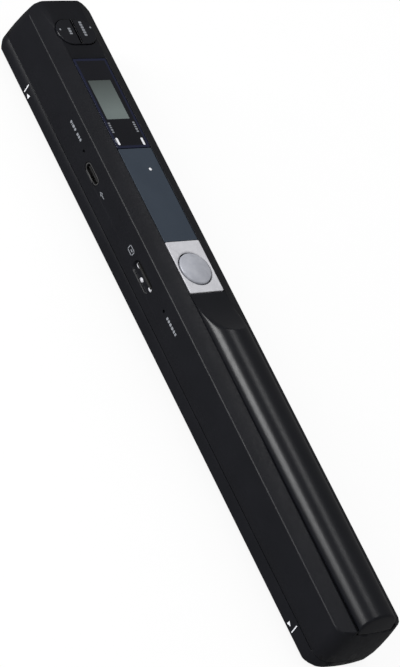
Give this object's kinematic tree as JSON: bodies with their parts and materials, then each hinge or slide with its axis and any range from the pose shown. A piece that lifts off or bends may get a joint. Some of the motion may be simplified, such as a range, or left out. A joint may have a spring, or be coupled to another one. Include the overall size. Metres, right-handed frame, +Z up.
{
  "type": "handheld document scanner",
  "caption": "Slim black wand scanner: keys, dark display window, domed scan button on a silver plate, side sockets, feed rollers and a humped battery cover with a thumb ramp.",
  "frame": {"origin": "centre of the bounding box on the sheet that the rollers and glide feet stand on", "axes": "+X along the scanner from the keys (head) to the battery end (tail), +Y across it away from the sockets, +Z up through the deck"},
  "size_m": [0.2594, 0.028, 0.03],
  "materials": {
    "black_case": "satin black moulded case, fine even texture",
    "black_cover": "satin to gloss black battery cover and keys",
    "dark_window": "glossy dark display window",
    "grey_display": "grey display glass, off",
    "slate_label": "dark slate panel, bare",
    "satin_silver": "satin silver trim plate",
    "silver_plastic": "satin silver button",
    "clear_plastic": "clear moulded plastic",
    "white_plastic": "white acetal",
    "grey_plastic": "grey low-friction plastic",
    "green_board": "green circuit board",
    "black_resin": "black moulded resin",
    "tin_plate": "tinned sheet",
    "steel": "bright steel",
    "black_rubber": "ground black rubber",
    "clear_glass": "polished clear glass",
    "cell_jacket": "plain dark cell jacket, its slot weighted as a cell of about 23 g"
  },
  "bodies": {
    "case": {"upper_shell": "black_case", "lower_shell": "black_case", "display_window": "dark_window", "label_panel": "slate_label", "trim_plate": "satin_silver", "scan_switch": "black_resin", "left_key_switch": "black_resin", "right_key_switch": "black_resin", "lcd_panel": "grey_display", "lcd_module": "white_plastic", "status_led": "white_plastic", "light_pipe": "clear_plastic", "key_board": "green_board", "main_board": "green_board", "board_header": "black_resin", "processor_chip": "black_resin", "memory_chip": "black_resin", "usb_socket": "tin_plate", "usb_tongue": "black_resin", "card_socket": "tin_plate", "time_switch": "black_resin", "format_switch": "black_resin", "front_cell": "cell_jacket", "rear_cell": "cell_jacket", "front_contact": "tin_plate", "spring_plate": "tin_plate", "battery_spring": "steel", "scan_glass": "clear_glass", "sensor_housing": "black_resin", "lens_array": "clear_glass", "light_guide": "clear_plastic", "sensor_board": "green_board", "head_bush": "white_plastic", "tail_bush": "white_plastic", "encoder_pin": "steel", "light_gate": "black_resin", "case_screw_1": "steel", "case_screw_2": "steel", "case_screw_3": "steel", "case_screw_4": "steel", "board_screw_1": "steel", "board_screw_2": "steel", "board_screw_3": "steel", "board_screw_4": "steel", "board_screw_5": "steel", "head_glide_foot": "grey_plastic", "tail_glide_foot": "grey_plastic"},
    "scan_button": {"scan_button": "silver_plastic"},
    "left_key": {"left_key": "black_cover"},
    "right_key": {"right_key": "black_cover"},
    "time_plunger": {"time_plunger": "white_plastic"},
    "format_plunger": {"format_plunger": "white_plastic"},
    "battery_cover": {"battery_cover": "black_cover"},
    "memory_card": {"memory_card": "black_resin"},
    "rollers": {"roller_shaft": "steel", "head_roller": "black_rubber", "tail_roller": "black_rubber", "drive_pinion": "white_plastic"},
    "encoder": {"encoder_wheel": "white_plastic"}
  },
  "joints": [
    {"name": "scan_button_press", "type": "slide", "parent": "case", "child": "scan_button", "axis": [0, 0, -1], "range_m": [0, 0.00045], "stiffness_N_per_m": 1500},
    {"name": "left_key_press", "type": "slide", "parent": "case", "child": "left_key", "axis": [0, 0, -1], "range_m": [0, 0.0004], "stiffness_N_per_m": 1500},
    {"name": "right_key_press", "type": "slide", "parent": "case", "child": "right_key", "axis": [0, 0, -1], "range_m": [0, 0.0004], "stiffness_N_per_m": 1500},
    {"name": "time_plunger_press", "type": "slide", "parent": "case", "child": "time_plunger", "axis": [0, 1, 0], "range_m": [0, 0.00025], "stiffness_N_per_m": 1500},
    {"name": "format_plunger_press", "type": "slide", "parent": "case", "child": "format_plunger", "axis": [0, 1, 0], "range_m": [0, 0.00025], "stiffness_N_per_m": 1500},
    {"name": "battery_cover_slide", "type": "slide", "parent": "case", "child": "battery_cover", "axis": [1, 0, 0], "range_m": [0, 0.0032]},
    {"name": "memory_card_slide", "type": "slide", "parent": "case", "child": "memory_card", "axis": [0, -1, 0], "range_m": [0, 0.011]},
    {"name": "roller_spin", "type": "hinge", "parent": "case", "child": "rollers", "pos_m": [0, 0.0076, 0.0042], "axis": [1, 0, 0], "continuous": true},
    {"name": "encoder_spin", "type": "hinge", "parent": "case", "child": "encoder", "pos_m": [-0.11635, 0.0046, 0.00974], "axis": [1, 0, 0], "continuous": true}
  ],
  "couplings": [
    {"joint": "encoder_spin", "follows": "roller_spin", "ratio": -0.4}
  ]
}
